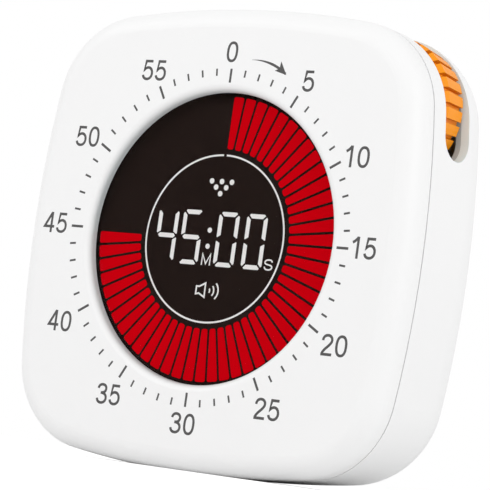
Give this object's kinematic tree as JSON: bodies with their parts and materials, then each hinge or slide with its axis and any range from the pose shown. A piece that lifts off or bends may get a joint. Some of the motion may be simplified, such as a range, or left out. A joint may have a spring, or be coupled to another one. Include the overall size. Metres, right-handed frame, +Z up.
{
  "type": "visual countdown timer",
  "caption": "Palm-sized square-round countdown timer with a round recessed wedge-ring display, a ribbed corner thumbwheel, rear controls and a hinged battery door.",
  "frame": {"origin": "middle of the bounding box's footprint, on the surface that the timer stands on", "axes": "+X to the right of someone facing the dial, +Y from the dial to the back, +Z up"},
  "size_m": [0.09, 0.0316, 0.0896],
  "materials": {
    "white_case": "white moulded ABS, satin",
    "steel_screw": "zinc-plated steel",
    "clear_lens": "clear acrylic lens, polished",
    "display_black": "black display glass",
    "milky_sheet": "milky diffusing sheet",
    "clear_guide": "clear acrylic",
    "lamp_strip": "lamp strip with yellow phosphor",
    "holder_white": "natural ABS",
    "zebra_rubber": "striped silicone rubber",
    "board_green": "green solder mask",
    "chip_black": "black epoxy",
    "tinned_metal": "tinned steel can",
    "capacitor_sleeve": "shrunk vinyl sleeve",
    "connector_cream": "natural nylon",
    "switch_black": "black nylon",
    "piezo_brass": "bare brass",
    "piezo_white": "fired ceramic with a silver coat",
    "cell_sleeve": "plain dark sleeve",
    "contact_nickel": "nickel-plated steel",
    "orange_wheel": "orange moulded ABS, satin",
    "grey_control": "light grey moulded ABS",
    "pad_foam": "thin black foam"
  },
  "bodies": {
    "case": {"front_shell": "white_case", "rear_shell": "white_case", "case_screws": "steel_screw", "display_lens": "clear_lens", "lcd_front_glass": "display_black", "lcd_rear_glass": "display_black", "display_film": "display_black", "diffuser_sheet": "milky_sheet", "light_guide": "clear_guide", "reflector_sheet": "milky_sheet", "backlight_strip": "lamp_strip", "display_holder": "holder_white", "zebra_strips": "zebra_rubber", "main_board": "board_green", "board_screws": "steel_screw", "controller_blob": "chip_black", "driver_chip": "chip_black", "crystal_can": "tinned_metal", "capacitors": "capacitor_sleeve", "lead_connector": "connector_cream", "encoder_body": "switch_black", "switch_board": "board_green", "switch_board_screws": "steel_screw", "slide_switch_body": "tinned_metal", "tact_switch_body": "switch_black", "piezo_plate": "piezo_brass", "piezo_ceramic": "piezo_white", "speaker_ring": "holder_white", "battery_cells": "cell_sleeve", "spring_contacts": "contact_nickel", "plate_contacts": "contact_nickel"},
    "wheel": {"thumbwheel": "orange_wheel", "encoder_shaft": "switch_black"},
    "slider": {"volume_slider": "grey_control", "switch_lever": "switch_black"},
    "button": {"rear_button": "grey_control", "tact_plunger": "switch_black"},
    "door": {"battery_door": "white_case", "door_pad": "pad_foam"}
  },
  "joints": [
    {"name": "wheel_turn", "type": "hinge", "parent": "case", "child": "wheel", "pos_m": [0.02915, 0, 0.0733], "axis": [0, 1, 0], "continuous": true},
    {"name": "slider_slide", "type": "slide", "parent": "case", "child": "slider", "axis": [1, 0, 0], "range_m": [0, 0.004]},
    {"name": "button_press", "type": "slide", "parent": "case", "child": "button", "axis": [0, -1, 0], "range_m": [0, 0.0005], "stiffness_N_per_m": 400},
    {"name": "door_swing", "type": "hinge", "parent": "case", "child": "door", "pos_m": [0, 0.01575, 0.0125], "axis": [-1, 0, 0], "range_deg": [0, 80]}
  ]
}
